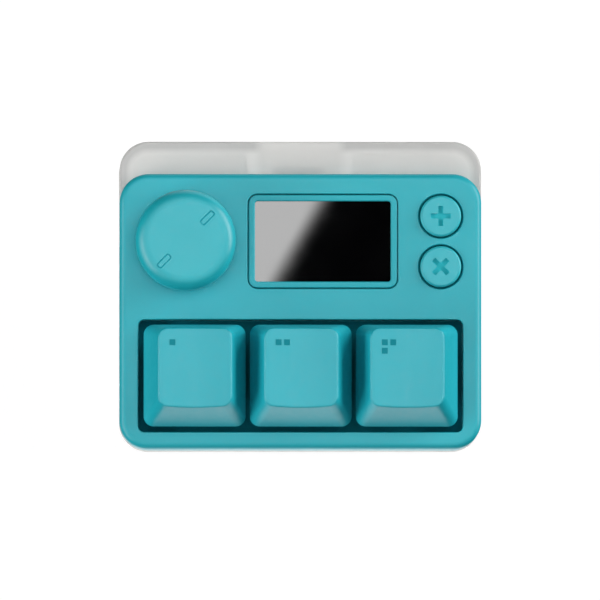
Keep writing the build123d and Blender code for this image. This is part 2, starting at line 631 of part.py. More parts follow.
# Keys: each has a switch base and cover, a spring, a stem with its magnet, and a keycap
for number, key_x in enumerate(KEY_MIDDLES, start=1):
    with BuildPart() as switch_base:
        with BuildSketch(level(BOARD_TOP, key_x, KEY_ROW)):
            Rectangle(SWITCH_HOLE - 2 * SWITCH_SIDE_GAP, SWITCH_HOLE - 2 * SWITCH_SIDE_GAP)
        extrude(amount=SWITCH_SEAT)
        with BuildSketch(level(DECK_TOP, key_x, KEY_ROW)):
            Rectangle(SWITCH_FLANGE, SWITCH_FLANGE)
        extrude(amount=SWITCH_FLANGE_THICKNESS)
        with BuildSketch(level(SWITCH_FLOOR_TOP, key_x, KEY_ROW)):
            Rectangle(SWITCH_HOLLOW_WIDTH, SWITCH_HOLLOW_LENGTH)
        extrude(amount=FLANGE_TOP - SWITCH_FLOOR_TOP, mode=Mode.SUBTRACT)
        with BuildSketch(level(BOARD_TOP, key_x, KEY_ROW)):
            with GridLocations(SWITCH_PEG_SPACING, SWITCH_PEG_SPACING, 2, 1):
                Circle(SWITCH_PEG_DIAMETER / 2)
        extrude(amount=-SWITCH_PEG_LENGTH)
    save(switch_base.part, f"switch_base_{number}")

    with BuildPart() as switch_cover:
        cover_ceiling = COVER_TOP - COVER_ROOF
        with BuildSketch(level(FLANGE_TOP, key_x, KEY_ROW)):
            RectangleRounded(COVER_BOTTOM_SIZE, COVER_BOTTOM_SIZE, COVER_CORNER)
        with BuildSketch(level(COVER_TOP, key_x, KEY_ROW)):
            RectangleRounded(COVER_TOP_WIDTH, COVER_TOP_LENGTH, COVER_CORNER)
        loft()
        with BuildSketch(level(FLANGE_TOP, key_x, KEY_ROW)):
            Rectangle(COVER_BOTTOM_SIZE - 2 * COVER_WALL, COVER_BOTTOM_SIZE - 2 * COVER_WALL)
        with BuildSketch(level(cover_ceiling, key_x, KEY_ROW)):
            Rectangle(COVER_TOP_WIDTH - 2 * COVER_WALL, COVER_TOP_LENGTH - 2 * COVER_WALL)
        loft(mode=Mode.SUBTRACT)
        with BuildSketch(level(cover_ceiling, key_x, KEY_ROW)):
            Rectangle(STEM_WIDTH + 2 * STEM_SLIP, STEM_LENGTH + 2 * STEM_SLIP)
        extrude(amount=COVER_ROOF, mode=Mode.SUBTRACT)
    save(switch_cover.part, f"switch_cover_{number}")

    with BuildPart() as switch_stem:
        with BuildSketch(level(STEM_BOTTOM, key_x, KEY_ROW)):
            Rectangle(STEM_WIDTH, STEM_LENGTH)
        extrude(amount=STEM_TOP - STEM_BOTTOM)
        with BuildSketch(level(STEM_BOTTOM, key_x, KEY_ROW)):
            Rectangle(SHOULDER_WIDTH, SHOULDER_LENGTH)
        extrude(amount=SHOULDER_TOP - STEM_BOTTOM)
        with BuildSketch(level(STEM_TOP, key_x, KEY_ROW)):
            Rectangle(CROSS_LENGTH, CROSS_ARM)
            Rectangle(CROSS_ARM, CROSS_LENGTH)
        extrude(amount=CROSS_HEIGHT)
        with BuildSketch(level(STEM_BOTTOM, key_x, KEY_ROW)):
            Circle((SPRING_DIAMETER + SPRING_WIRE) / 2 + SPRING_SIDE_GAP)
            Circle(POLE_DIAMETER / 2, mode=Mode.SUBTRACT)
        extrude(amount=SPRING_TOP - STEM_BOTTOM, mode=Mode.SUBTRACT)
        with BuildSketch(level(STEM_BOTTOM, key_x, KEY_ROW)):
            Circle(MAGNET_DIAMETER / 2 + INSERT_FIT)
        extrude(amount=MAGNET_LENGTH, mode=Mode.SUBTRACT)
    save(switch_stem.part, f"switch_stem_{number}")

    with BuildPart() as switch_magnet:
        with BuildSketch(level(STEM_BOTTOM, key_x, KEY_ROW)):
            Circle(MAGNET_DIAMETER / 2)
        extrude(amount=MAGNET_LENGTH)
    save(switch_magnet.part, f"switch_magnet_{number}")

    # The spring stands on the switch floor and reaches up into the hollow stem
    with BuildPart() as switch_spring:
        coil_bottom = SWITCH_FLOOR_TOP + SPRING_WIRE / 2 + SPRING_END_GAP
        coil_height = SPRING_TOP - SPRING_WIRE / 2 - SPRING_END_GAP - coil_bottom
        with BuildLine() as coil:
            Helix(
                pitch=coil_height / SPRING_TURNS,
                height=coil_height,
                radius=SPRING_DIAMETER / 2,
                center=(key_x, KEY_ROW, coil_bottom),
            )
        with BuildSketch(Plane(origin=coil.line @ 0, z_dir=coil.line % 0)):
            RegularPolygon(SPRING_WIRE / 2, 4)
        sweep(path=coil.line, is_frenet=True)
    save(switch_spring.part, f"switch_spring_{number}")

    with BuildPart() as keycap:
        with BuildSketch(level(KEYCAP_BOTTOM, key_x, KEY_ROW)):
            RectangleRounded(KEYCAP_SIZE, KEYCAP_SIZE, KEYCAP_CORNER)
        with BuildSketch(level(KEYCAP_TOP, key_x, KEY_ROW + KEYCAP_TOP_SHIFT)):
            RectangleRounded(KEYCAP_TOP_WIDTH, KEYCAP_TOP_LENGTH, KEYCAP_CORNER)
        loft()
        # Finger dish, round from side to side and straight from front to rear
        with BuildSketch(facing_rear(KEY_ROW, KEYCAP_TOP - KEYCAP_DISH + KEYCAP_DISH_RADIUS)):
            with Locations((key_x, 0)):
                Circle(KEYCAP_DISH_RADIUS)
        extrude(amount=KEYCAP_SIZE, both=True, mode=Mode.SUBTRACT)
        dish = keycap.faces().filter_by(GeomType.CYLINDER).sort_by(Axis.Z)[-1]
        fillet(dish.edges(), KEYCAP_EDGE_ROUND)
        # Hollow, and the boss that grips the stem's cross
        with BuildSketch(level(KEYCAP_BOTTOM, key_x, KEY_ROW)):
            Rectangle(KEYCAP_SIZE - 2 * KEYCAP_WALL, KEYCAP_SIZE - 2 * KEYCAP_WALL)
        with BuildSketch(level(KEYCAP_CEILING, key_x, KEY_ROW + KEYCAP_TOP_SHIFT)):
            Rectangle(KEYCAP_TOP_WIDTH - 2 * KEYCAP_WALL, KEYCAP_TOP_LENGTH - 2 * KEYCAP_WALL)
        loft(mode=Mode.SUBTRACT)
        with BuildSketch(level(STEM_TOP, key_x, KEY_ROW)):
            Circle(KEYCAP_BOSS_DIAMETER / 2)
            Rectangle(CROSS_LENGTH + 2 * CROSS_FIT, CROSS_ARM + 2 * CROSS_FIT, mode=Mode.SUBTRACT)
            Rectangle(CROSS_ARM + 2 * CROSS_FIT, CROSS_LENGTH + 2 * CROSS_FIT, mode=Mode.SUBTRACT)
        extrude(amount=KEYCAP_CEILING - STEM_TOP)
    save(keycap.part, f"keycap_{number}")

# Encoder housing on the board, with a well for the plunger and the shaft's collar
with BuildPart() as encoder_housing:
    with BuildSketch(level(BOARD_TOP, KNOB_MIDDLE, CONTROL_ROW)):
        Rectangle(ENCODER_SIZE, ENCODER_SIZE)
    extrude(amount=ENCODER_HEIGHT)
    with BuildSketch(level(BOARD_TOP + ENCODER_FLOOR, KNOB_MIDDLE, CONTROL_ROW)):
        Circle(ENCODER_HOLLOW_DIAMETER / 2)
    extrude(amount=ENCODER_HEIGHT - ENCODER_FLOOR, mode=Mode.SUBTRACT)
save(encoder_housing.part, "encoder_housing")

# Encoder bracket, a metal plate with the bush that guides the shaft
with BuildPart() as encoder_bracket:
    with BuildSketch(level(ENCODER_TOP, KNOB_MIDDLE, CONTROL_ROW)):
        Rectangle(ENCODER_SIZE, ENCODER_SIZE)
    extrude(amount=BRACKET_THICKNESS)
    with BuildSketch(level(ENCODER_TOP + BRACKET_THICKNESS, KNOB_MIDDLE, CONTROL_ROW)):
        Circle(BUSH_DIAMETER / 2)
    extrude(amount=BUSH_HEIGHT)
    with BuildSketch(level(ENCODER_TOP, KNOB_MIDDLE, CONTROL_ROW)):
        Circle(SHAFT_DIAMETER / 2 + SHAFT_GAP)
    extrude(amount=BRACKET_THICKNESS + BUSH_HEIGHT, mode=Mode.SUBTRACT)
save(encoder_bracket.part, "encoder_bracket")

# Encoder plunger, pushed down by the shaft without turning
with BuildPart() as encoder_plunger:
    with BuildSketch(level(PLUNGER_BOTTOM, KNOB_MIDDLE, CONTROL_ROW)):
        Circle(PLUNGER_DIAMETER / 2)
    extrude(amount=PLUNGER_HEIGHT)
save(encoder_plunger.part, "encoder_plunger")

# Encoder shaft, with a collar under the bracket and a flat that drives the knob
with BuildPart() as encoder_shaft:
    shaft_top = KNOB_CEILING
    flat_bottom = shaft_top - SHAFT_FLAT_LENGTH
    with BuildSketch(level(SHAFT_BOTTOM, KNOB_MIDDLE, CONTROL_ROW)):
        Circle(COLLAR_DIAMETER / 2)
    extrude(amount=COLLAR_HEIGHT)
    with BuildSketch(level(SHAFT_BOTTOM, KNOB_MIDDLE, CONTROL_ROW)):
        Circle(SHAFT_DIAMETER / 2)
    extrude(amount=flat_bottom - SHAFT_BOTTOM)
    with BuildSketch(level(flat_bottom, KNOB_MIDDLE, CONTROL_ROW)):
        d_section(SHAFT_DIAMETER / 2, SHAFT_FLAT)
    extrude(amount=SHAFT_FLAT_LENGTH)
save(encoder_shaft.part, "encoder_shaft")

# Knob: a hollow cap with a bored boss and two marks across its top, each outlined by a fine groove
with BuildPart() as knob:
    with BuildSketch(level(KNOB_BOTTOM, KNOB_MIDDLE, CONTROL_ROW)):
        Circle(KNOB_DIAMETER / 2)
    extrude(amount=KNOB_HEIGHT)
    fillet(knob.edges().group_by(Axis.Z)[-1], KNOB_ROUND)
    with BuildSketch(level(KNOB_BOTTOM, KNOB_MIDDLE, CONTROL_ROW)):
        Circle(KNOB_DIAMETER / 2 - KNOB_WALL)
    extrude(amount=KNOB_CEILING - KNOB_BOTTOM, mode=Mode.SUBTRACT)
    with BuildSketch(level(KNOB_BOTTOM + KNOB_BOSS_SETBACK, KNOB_MIDDLE, CONTROL_ROW)):
        Circle(KNOB_BOSS_DIAMETER / 2)
    extrude(amount=KNOB_CEILING - KNOB_BOTTOM - KNOB_BOSS_SETBACK)
    with BuildSketch(level(KNOB_BOTTOM, KNOB_MIDDLE, CONTROL_ROW)):
        d_section(SHAFT_DIAMETER / 2 + KNOB_FIT, SHAFT_FLAT + KNOB_FIT)
    extrude(amount=KNOB_CEILING - KNOB_BOTTOM, mode=Mode.SUBTRACT)
    with BuildSketch(level(KNOB_TOP, KNOB_MIDDLE, CONTROL_ROW)):
        with PolarLocations(KNOB_MARK_RADIUS, 2, start_angle=KNOB_MARK_ANGLE):
            RectangleRounded(KNOB_MARK_LENGTH, KNOB_MARK_WIDTH, KNOB_MARK_CORNER)
            RectangleRounded(
                KNOB_MARK_LENGTH - 2 * KNOB_MARK_GROOVE,
                KNOB_MARK_WIDTH - 2 * KNOB_MARK_GROOVE,
                KNOB_MARK_CORNER - KNOB_MARK_GROOVE,
                mode=Mode.SUBTRACT,
            )
    extrude(amount=-KNOB_MARK_DEPTH, mode=Mode.SUBTRACT)
save(knob.part, "knob")

# Display bezel, put in from below: a flange bears on the face and a lip holds the glass
with BuildPart() as display_bezel:
    with BuildSketch(level(BEZEL_BOTTOM, DISPLAY_MIDDLE, CONTROL_ROW)):
        RectangleRounded(BEZEL_WIDTH, BEZEL_LENGTH, BEZEL_CORNER)
    extrude(amount=FACE_TOP - BEZEL_BOTTOM)
    fillet(display_bezel.edges().group_by(Axis.Z)[-1], BEZEL_EDGE_ROUND)
    with BuildSketch(level(BEZEL_BOTTOM, DISPLAY_MIDDLE, CONTROL_ROW)):
        RectangleRounded(
            BEZEL_WIDTH + 2 * BEZEL_FLANGE, BEZEL_LENGTH + 2 * BEZEL_FLANGE, BEZEL_CORNER
        )
    extrude(amount=BEZEL_FLANGE_THICKNESS)
    with BuildSketch(level(BEZEL_BOTTOM, DISPLAY_MIDDLE, CONTROL_ROW)):
        RectangleRounded(GLASS_SEEN_WIDTH, GLASS_SEEN_LENGTH, GLASS_SEEN_CORNER)
    extrude(amount=FACE_TOP - BEZEL_BOTTOM, mode=Mode.SUBTRACT)
    with BuildSketch(level(BEZEL_BOTTOM, DISPLAY_MIDDLE, CONTROL_ROW)):
        Rectangle(
            GLASS_SEEN_WIDTH + 2 * (GLASS_OVERLAP + GLASS_FIT),
            GLASS_SEEN_LENGTH + 2 * (GLASS_OVERLAP + GLASS_FIT),
        )
    extrude(amount=GLASS_TOP - BEZEL_BOTTOM, mode=Mode.SUBTRACT)
save(display_bezel.part, "display_bezel")

# Display glass, against the bezel's lip
with BuildPart() as display_glass:
    with BuildSketch(level(GLASS_TOP, DISPLAY_MIDDLE, CONTROL_ROW)):
        Rectangle(GLASS_SEEN_WIDTH + 2 * GLASS_OVERLAP, GLASS_SEEN_LENGTH + 2 * GLASS_OVERLAP)
    extrude(amount=-GLASS_THICKNESS)
save(display_glass.part, "display_glass")

# Display panel and its backlight, stuck under the bezel's flange
with BuildPart() as display_panel:
    with BuildSketch(level(PANEL_BOTTOM, DISPLAY_MIDDLE, CONTROL_ROW)):
        Rectangle(PANEL_WIDTH, PANEL_LENGTH)
    extrude(amount=PANEL_THICKNESS)
save(display_panel.part, "display_panel")

with BuildPart() as display_backlight:
    backlight_right = DISPLAY_MIDDLE + PANEL_WIDTH / 2
    with BuildSketch(level(BACKLIGHT_BOTTOM, backlight_right, CONTROL_ROW)):
        Rectangle(
            PANEL_WIDTH - BACKLIGHT_SETBACK,
            PANEL_LENGTH - 2 * BACKLIGHT_INSET,
            align=(Align.MAX, Align.CENTER),
        )
    extrude(amount=BACKLIGHT_THICKNESS)
save(display_backlight.part, "display_backlight")

# Display flex: from under the panel's free end, round and down to its socket on the board
FLEX_START = DISPLAY_MIDDLE - PANEL_WIDTH / 2
FLEX_SOCKET_MOUTH = FLEX_START + FLEX_REACH
FLEX_LEVEL = BOARD_TOP + FLEX_SOCKET_HEIGHT / 2
with BuildPart() as display_flex:
    flex_top = PANEL_BOTTOM - FLEX_THICKNESS / 2
    flex_side = FLEX_START - FLEX_REACH
    with BuildSketch(Plane(origin=(0, CONTROL_ROW, 0), x_dir=(1, 0, 0), z_dir=(0, -1, 0))):
        with BuildLine() as flex_run:
            FilletPolyline(
                (FLEX_SOCKET_MOUTH, flex_top),
                (flex_side, flex_top),
                (flex_side, FLEX_LEVEL),
                (FLEX_SOCKET_MOUTH + FLEX_REACH, FLEX_LEVEL),
                radius=FLEX_BEND,
            )
        trace(line_width=FLEX_THICKNESS)
    extrude(amount=FLEX_WIDTH / 2, both=True)
save(display_flex.part, "display_flex")

with BuildPart() as flex_socket:
    with BuildSketch(level(BOARD_TOP, FLEX_SOCKET_MOUTH, CONTROL_ROW)):
        Rectangle(
            FLEX_SOCKET_LENGTH,
            FLEX_WIDTH + 2 * FLEX_SOCKET_SIDE,
            align=(Align.MIN, Align.CENTER),
        )
    extrude(amount=FLEX_SOCKET_HEIGHT)
    slot_height = FLEX_THICKNESS + 2 * FLEX_SLOT_GAP
    with BuildSketch(level(FLEX_LEVEL - slot_height / 2, FLEX_SOCKET_MOUTH, CONTROL_ROW)):
        Rectangle(
            FLEX_REACH + FLEX_SLOT_GAP,
            FLEX_WIDTH + 2 * FLEX_SLOT_GAP,
            align=(Align.MIN, Align.CENTER),
        )
    extrude(amount=slot_height, mode=Mode.SUBTRACT)
save(flex_socket.part, "flex_socket")

# Buttons: each has a cap with a sunk sign, a flange that stops it under the face and a stem that
# stands on a tact switch
for sign, row in BUTTON_ROWS.items():
    with BuildPart() as button:
        with BuildSketch(level(BUTTON_FLANGE_TOP, BUTTON_MIDDLE, row)):
            Circle(BUTTON_DIAMETER / 2)
        extrude(amount=FACE_TOP + BUTTON_PROUD - BUTTON_FLANGE_TOP)
        fillet(button.edges().group_by(Axis.Z)[-1], BUTTON_ROUND)
        with BuildSketch(level(BUTTON_FLANGE_TOP, BUTTON_MIDDLE, row)):
            Circle(BUTTON_DIAMETER / 2 + BUTTON_HOLE_GAP + BUTTON_FLANGE)
        extrude(amount=-BUTTON_FLANGE_THICKNESS)
        with BuildSketch(level(TACT_TOP, BUTTON_MIDDLE, row)):
            Circle(BUTTON_STEM_DIAMETER / 2)
        extrude(amount=BUTTON_FLANGE_TOP - BUTTON_FLANGE_THICKNESS - TACT_TOP)
        with BuildSketch(level(FACE_TOP + BUTTON_PROUD, BUTTON_MIDDLE, row)):
            for quarter in (0, 90):
                Rectangle(MARK_LENGTH, MARK_WIDTH, rotation=BUTTON_TURNS[sign] + quarter)
        extrude(amount=-MARK_DEPTH, mode=Mode.SUBTRACT)
    save(button.part, f"{sign}_button")

    with BuildPart() as tact_body:
        with BuildSketch(level(BOARD_TOP, BUTTON_MIDDLE, row)):
            Rectangle(TACT_SIZE, TACT_SIZE)
        extrude(amount=TACT_BODY_HEIGHT)
        with BuildSketch(level(BOARD_TOP + TACT_FLOOR, BUTTON_MIDDLE, row)):
            Circle(TACT_PLUNGER_DIAMETER / 2 + RUNNING_GAP)
        extrude(amount=TACT_BODY_HEIGHT - TACT_FLOOR, mode=Mode.SUBTRACT)
    save(tact_body.part, f"{sign}_tact_body")

    with BuildPart() as tact_plunger:
        plunger_bottom = BOARD_TOP + TACT_FLOOR + BUTTON_TRAVEL + PRESS_SPARE
        with BuildSketch(level(plunger_bottom, BUTTON_MIDDLE, row)):
            Circle(TACT_PLUNGER_DIAMETER / 2)
        extrude(amount=TACT_TOP - plunger_bottom)
    save(tact_plunger.part, f"{sign}_tact_plunger")
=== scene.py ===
import json
import math

import bmesh
import bpy
from mathutils import Matrix, Vector

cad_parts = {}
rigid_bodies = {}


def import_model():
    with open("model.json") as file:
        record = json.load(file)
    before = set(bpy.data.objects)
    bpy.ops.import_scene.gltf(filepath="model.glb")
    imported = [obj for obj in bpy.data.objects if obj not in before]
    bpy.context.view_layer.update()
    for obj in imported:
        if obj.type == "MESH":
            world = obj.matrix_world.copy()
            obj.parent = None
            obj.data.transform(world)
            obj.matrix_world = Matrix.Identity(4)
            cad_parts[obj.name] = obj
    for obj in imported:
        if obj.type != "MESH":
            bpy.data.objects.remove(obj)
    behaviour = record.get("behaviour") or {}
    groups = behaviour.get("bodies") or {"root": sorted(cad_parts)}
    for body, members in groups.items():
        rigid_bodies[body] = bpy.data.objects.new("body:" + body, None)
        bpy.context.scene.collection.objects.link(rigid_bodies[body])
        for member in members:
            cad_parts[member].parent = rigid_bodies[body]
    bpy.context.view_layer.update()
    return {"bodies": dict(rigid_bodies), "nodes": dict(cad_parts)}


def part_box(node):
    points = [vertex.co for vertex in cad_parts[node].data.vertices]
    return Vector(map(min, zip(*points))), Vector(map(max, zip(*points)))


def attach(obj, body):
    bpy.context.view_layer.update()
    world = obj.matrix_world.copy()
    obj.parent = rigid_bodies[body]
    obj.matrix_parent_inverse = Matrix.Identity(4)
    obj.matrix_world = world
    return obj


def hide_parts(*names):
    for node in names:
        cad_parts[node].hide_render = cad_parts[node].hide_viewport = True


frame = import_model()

# Front shell: the teal cover with the face, the key well and the deck under the keys. It is one
# injection moulding with a fine spark-eroded grain. Four screws hold it, and two hooks at the rear.
MM = 0.001
DRIFT_SPOTS = 14 * MM
GLOSS_SPOTS = 1.1 * MM
NOISE_LOW = 0.3
NOISE_HIGH = 0.7


def paint(red, green, blue):
    """A colour as a screen shows it, 0 to 255, in the linear values that shaders take."""
    values = []
    for level in (red, green, blue):
        share = level / 255
        values.append(share / 12.92 if share <= 0.04045 else ((share + 0.055) / 1.055) ** 2.4)
    return (*values, 1.0)


def plain_finish(name):
    """A new material with nothing in it but its shader and its output."""
    material = bpy.data.materials.new(name)
    material.use_nodes = True
    tree = material.node_tree
    tree.nodes.clear()
    output = tree.nodes.new("ShaderNodeOutputMaterial")
    shader = tree.nodes.new("ShaderNodeBsdfPrincipled")
    tree.links.new(shader.outputs["BSDF"], output.inputs["Surface"])
    return material, tree, shader


def mottle(tree, spot):
    """Noise over the piece's own coordinates, with spots of about the given size."""
    place = tree.nodes.new("ShaderNodeTexCoord")
    noise = tree.nodes.new("ShaderNodeTexNoise")
    noise.inputs["Scale"].default_value = 1 / spot
    tree.links.new(place.outputs["Object"], noise.inputs["Vector"])
    return noise.outputs["Fac"]


def tone(tree, noise, dark, light):
    """A colour that wanders between two tones as the noise does."""
    ramp = tree.nodes.new("ShaderNodeValToRGB")
    first, last = ramp.color_ramp.elements
    first.position, first.color = NOISE_LOW, dark
    last.position, last.color = NOISE_HIGH, light
    tree.links.new(noise, ramp.inputs["Fac"])
    return ramp.outputs["Color"]


def spread(tree, noise, low, high):
    """A number that wanders between two limits as the noise does."""
    limits = tree.nodes.new("ShaderNodeMapRange")
    limits.inputs["From Min"].default_value = NOISE_LOW
    limits.inputs["From Max"].default_value = NOISE_HIGH
    limits.inputs["To Min"].default_value = low
    limits.inputs["To Max"].default_value = high
    tree.links.new(noise, limits.inputs["Value"])
    return limits.outputs["Result"]


def emboss(tree, shader, noise, depth):
    """Relief of the given depth on the shader's surface."""
    bump = tree.nodes.new("ShaderNodeBump")
    bump.inputs["Distance"].default_value = depth
    tree.links.new(noise, bump.inputs["Height"])
    tree.links.new(bump.outputs["Normal"], shader.inputs["Normal"])


def satin_plastic(name, dark, light, smooth, rough, grain=0.16 * MM, depth=0.004 * MM, gloss=0.5):
    """Moulded plastic: slight tone drift, a fine eroded grain and a satin gloss that varies."""
    material, tree, shader = plain_finish(name)
    colour = tone(tree, mottle(tree, DRIFT_SPOTS), dark, light)
    roughness = spread(tree, mottle(tree, GLOSS_SPOTS), smooth, rough)
    tree.links.new(colour, shader.inputs["Base Color"])
    tree.links.new(roughness, shader.inputs["Roughness"])
    emboss(tree, shader, mottle(tree, grain), depth)
    shader.inputs["Specular IOR Level"].default_value = gloss
    return material


def dress(node, material):
    """Give a CAD node one material in place of the plain one it came with."""
    slots = frame["nodes"][node].data.materials
    slots.clear()
    slots.append(material)


shell_teal = satin_plastic(
    "shell_teal", paint(25, 166, 179), paint(29, 172, 185), smooth=0.34, rough=0.42, gloss=0.4
)
dress("front_shell", shell_teal)

# Base shell: the milky, see-through tray below and behind the front shell, with the ledge at the
# rear. It is one polycarbonate moulding, frosted in the mould, with the plug pocket in its back.
# The ledge's top has painted shade for the walls and the pocket below it: a dark band along the
# rim and, over the plug pocket, a top a little darker than the rest.
CASE_CORNER = 5.2 * MM
RIM_WIDTH = 1.35 * MM
RIM_FADE_IN = 0.9 * MM
RIM_FADE_OUT = 0.3 * MM
POCKET_HALF = 7.5 * MM
POCKET_FADE = 0.9 * MM
LEDGE_TOP_FROM = 0.9 * MM
LEDGE_TOP_FULL = 0.4 * MM
FROST_DRIFT = 9 * MM
FROST_SPOTS = 0.8 * MM
FROST_GRAIN = 0.12 * MM
FROST_DEPTH = 0.005 * MM
FROST_SMOOTH, FROST_ROUGH = 0.5, 0.6
FROST_CLEARNESS = 0.5
FROST_IOR = 1.46
POCKET_PAINTED_SHADE = paint(234, 233, 231)
RIM_PAINTED_SHADE = paint(202, 202, 201)


def change_where(tree, shader, socket, mask, inside):
    """Give a linked socket of the shader another value where a mask is 1."""
    colour = shader.inputs[socket].type == "RGBA"
    mix = tree.nodes.new("ShaderNodeMix")
    mix.data_type = "RGBA" if colour else "FLOAT"
    outside_socket, inside_socket, result = (6, 7, 2) if colour else (2, 3, 0)
    tree.links.new(mask, mix.inputs[0])
    tree.links.new(shader.inputs[socket].links[0].from_socket, mix.inputs[outside_socket])
    mix.inputs[inside_socket].default_value = inside
    tree.links.new(mix.outputs[result], shader.inputs[socket])


def between(tree, value, low, high):
    """A mask that rises from 0 to 1 as a value goes from one limit to the other."""
    limits = tree.nodes.new("ShaderNodeMapRange")
    limits.inputs["From Min"].default_value = low
    limits.inputs["From Max"].default_value = high
    tree.links.new(value, limits.inputs["Value"])
    return limits.outputs["Result"]


def reckon(tree, operation, *values, kind="ShaderNodeMath"):
    """One step of arithmetic on values that are numbers or come from other nodes."""
    step = tree.nodes.new(kind)
    step.operation = operation
    for socket, value in zip(step.inputs, values):
        if isinstance(value, bpy.types.NodeSocket):
            tree.links.new(value, socket)
        else:
            socket.default_value = value
    scalar = kind == "ShaderNodeMath" or operation == "LENGTH"
    return step.outputs["Value" if scalar else "Vector"]


def object_point(tree):
    """The point on the piece that is being shaded."""
    return tree.nodes.new("ShaderNodeTexCoord").outputs["Object"]


def apart(tree, point):
    """The X, Y and Z of a point."""
    parts = tree.nodes.new("ShaderNodeSeparateXYZ")
    tree.links.new(point, parts.inputs["Vector"])
    return parts.outputs


def from_corners(tree, half_width, half_length, corner):
    """How far a point lies outside the straight middle of a plan with round corners."""
    any_height = 1.0
    middle = (half_width - corner, half_length - corner, any_height)
    vector = "ShaderNodeVectorMath"
    folded = reckon(tree, "ABSOLUTE", object_point(tree), kind=vector)
    past = reckon(tree, "SUBTRACT", folded, middle, kind=vector)
    kept = reckon(tree, "MAXIMUM", past, (0, 0, 0), kind=vector)
    return reckon(tree, "LENGTH", kept, kind=vector)


frosted_clear, frost_tree, frost = plain_finish("frosted_clear")
frost_tone = tone(
    frost_tree, mottle(frost_tree, FROST_DRIFT), paint(241, 240, 238), paint(246, 245, 243)
)
frost_gloss = spread(frost_tree, mottle(frost_tree, FROST_SPOTS), FROST_SMOOTH, FROST_ROUGH)
frost_tree.links.new(frost_tone, frost.inputs["Base Color"])
frost_tree.links.new(frost_gloss, frost.inputs["Roughness"])
emboss(frost_tree, frost, mottle(frost_tree, FROST_GRAIN), FROST_DEPTH)
base_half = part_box("base_shell")[1]
rim_start = CASE_CORNER - RIM_WIDTH
frost_reach = from_corners(frost_tree, base_half.x, base_half.y, CASE_CORNER)
frost_rim_shade = between(frost_tree, frost_reach, rim_start - RIM_FADE_IN, rim_start + RIM_FADE_OUT)
frost_parts = apart(frost_tree, object_point(frost_tree))
frost_side = reckon(frost_tree, "ABSOLUTE", frost_parts["X"])
pocket_inner, pocket_outer = POCKET_HALF - POCKET_FADE, POCKET_HALF + POCKET_FADE
beside_pocket = between(frost_tree, frost_side, pocket_inner, pocket_outer)
over_pocket = between(frost_tree, frost_side, pocket_outer, pocket_inner)
on_top = between(
    frost_tree, frost_parts["Z"], base_half.z - LEDGE_TOP_FROM, base_half.z - LEDGE_TOP_FULL
)
# Painted shade: a darker band round the ledge's rim, left out over the plug pocket, where the whole
# top takes a slightly darker tone instead; both stand in for what lies under the frosted top.
pocket_painted_shade = reckon(frost_tree, "MULTIPLY", over_pocket, on_top)
rim_painted_shade = reckon(
    frost_tree, "MULTIPLY", frost_rim_shade, reckon(frost_tree, "MULTIPLY", beside_pocket, on_top)
)
change_where(frost_tree, frost, "Base Color", pocket_painted_shade, POCKET_PAINTED_SHADE)
change_where(frost_tree, frost, "Base Color", rim_painted_shade, RIM_PAINTED_SHADE)
frost.inputs["Transmission Weight"].default_value = FROST_CLEARNESS
frost.inputs["IOR"].default_value = FROST_IOR
dress("base_shell", frosted_clear)

# Rubber feet: four grey silicone pads that keep the keypad from sliding on the desk. They are
# punched from sheet and glued into shallow pockets in the base.
foot_grey = satin_plastic(
    "foot_grey", paint(92, 94, 96), paint(104, 106, 108), smooth=0.75, rough=0.88, depth=0.01 * MM
)
dress("rubber_feet", foot_grey)

# Case screws and inserts: small steel screws that come up through the base and the board into
# brass inserts, which are pressed hot into the front shell's bosses.
METAL_DRIFT = 0.6 * MM
METAL_SPOTS = 0.3 * MM
METAL_GRAIN = 0.08 * MM
METAL_DEPTH = 0.003 * MM


def turned_metal(name, dark, light, smooth, rough):
    """Bare or plated metal, with fine marks from its making and a gloss that varies."""
    material, tree, shader = plain_finish(name)
    colour = tone(tree, mottle(tree, METAL_DRIFT), dark, light)
    roughness = spread(tree, mottle(tree, METAL_SPOTS), smooth, rough)
    tree.links.new(colour, shader.inputs["Base Color"])
    tree.links.new(roughness, shader.inputs["Roughness"])
    emboss(tree, shader, mottle(tree, METAL_GRAIN), METAL_DEPTH)
    shader.inputs["Metallic"].default_value = 1.0
    return material


bright_steel = turned_metal(
    "bright_steel", paint(176, 178, 180), paint(202, 203, 204), smooth=0.25, rough=0.38
)
brass = turned_metal("brass", paint(186, 148, 82), paint(212, 174, 104), smooth=0.28, rough=0.4)
dress("case_screws", bright_steel)
dress("brass_inserts", brass)

# Main board: a white glass-fibre board that carries the switches, the encoder, the socket and the
# chips, which are soldered on. It is clamped between the bosses of the two shells.
board_white = satin_plastic(
    "board_white", paint(214, 216, 214), paint(228, 229, 227),
    smooth=0.4, rough=0.55, grain=0.4 * MM,
)
chip_black = satin_plastic(
    "chip_black", paint(30, 31, 33), paint(42, 43, 45), smooth=0.5, rough=0.7, grain=0.1 * MM
)
dress("main_board", board_white)
dress("board_chips", chip_black)
dress("hall_sensors", chip_black)

# Plug socket: a drawn steel shell at the back of the plug pocket, with a black tongue that carries
# a row of gold-plated contacts above and another below. It is soldered to the board.
CONTACTS = 12
CONTACT_STEPS = 3
CONTACT_PITCH = 0.5 * MM
CONTACT_WIDTH = 0.28 * MM
CONTACT_LENGTH = 3.2 * MM
CONTACT_BACK = 0.3 * MM
CONTACT_SUNK = 0.02 * MM
CONTACT_HEIGHT = 0.05 * MM


def finished(name, mesh, material):
    """Make a mesh an object with one material."""
    data = bpy.data.meshes.new(name)
    mesh.to_mesh(data)
    mesh.free()
    data.materials.append(material)
    made = bpy.data.objects.new(name, data)
    bpy.context.scene.collection.objects.link(made)
    return made


def piece(name, mesh, material, body):
    """Finish a mesh as a piece of the keypad that moves with a body."""
    made = finished(name, mesh, material)
    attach(made, body)
    return made


